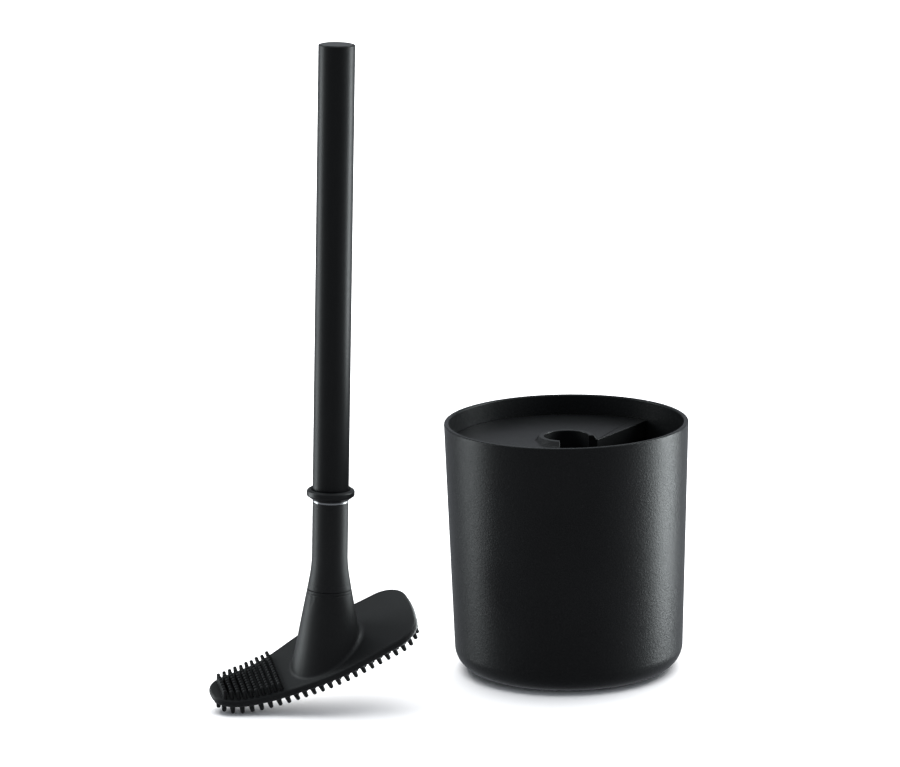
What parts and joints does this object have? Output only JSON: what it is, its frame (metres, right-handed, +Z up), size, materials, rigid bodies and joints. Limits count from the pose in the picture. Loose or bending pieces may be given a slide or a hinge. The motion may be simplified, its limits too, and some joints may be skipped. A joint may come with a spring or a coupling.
{
  "type": "toilet brush and holder",
  "caption": "Matt black tapered brush holder with a lift-out plate and C-shaped collar, and a flat silicone brush on a round screw-off handle standing beside it.",
  "frame": {"origin": "centre of the holder's underside, where its anti-slip disc meets the floor", "axes": "+Z up; +X across the front, from the brush towards the holder; +Y from the front to the back"},
  "size_m": [0.2664, 0.1622, 0.3645],
  "materials": {
    "cup_black": "black plastic with a fine, faintly speckled satin texture",
    "foot_rubber": "dark matt anti-slip rubber",
    "plate_black": "smooth matt black plastic",
    "neck_black": "satin black plastic",
    "stud_steel": "plain turned steel",
    "silicone_black": "soft-touch matt black silicone",
    "ring_steel": "bright polished steel",
    "tube_black": "satin black coating, very fine grain",
    "cap_black": "matt black plastic",
    "flange_black": "matt black plastic",
    "bush_brass": "plain turned brass"
  },
  "bodies": {
    "holder": {"outer_cup": "cup_black", "foot_disc": "foot_rubber"},
    "plate": {"rest_plate": "plate_black"},
    "brush": {"neck": "neck_black", "thread_stud": "stud_steel", "head_skin": "silicone_black", "sole_bristles": "silicone_black", "standing_bristles": "silicone_black", "toe_bristles": "silicone_black"},
    "washer": {"bright_ring": "ring_steel"},
    "handle": {"handle_tube": "tube_black", "handle_top_cap": "cap_black", "hanging_flange": "flange_black", "thread_bush": "bush_brass"}
  },
  "joints": [
    {"name": "plate_lift", "type": "slide", "parent": "holder", "child": "plate", "axis": [0, 0, 1], "range_m": [0, 0.06]},
    {"name": "brush_lift", "type": "slide", "parent": "holder", "child": "brush", "axis": [0, 0, 1], "range_m": [0, 0.15]},
    {"name": "handle_unscrew", "type": "hinge", "parent": "brush", "child": "washer", "pos_m": [-0.12992, -0.07, 0.11475], "axis": [0.0361, 0, 0.9993], "range_deg": [0, 3600]},
    {"name": "handle_rise", "type": "slide", "parent": "washer", "child": "handle", "axis": [0.0361, 0, 0.9993], "range_m": [0, 0.0126]}
  ],
  "couplings": [
    {"joint": "handle_rise", "follows": "handle_unscrew", "m_per_rad": 0.00019894}
  ]
}
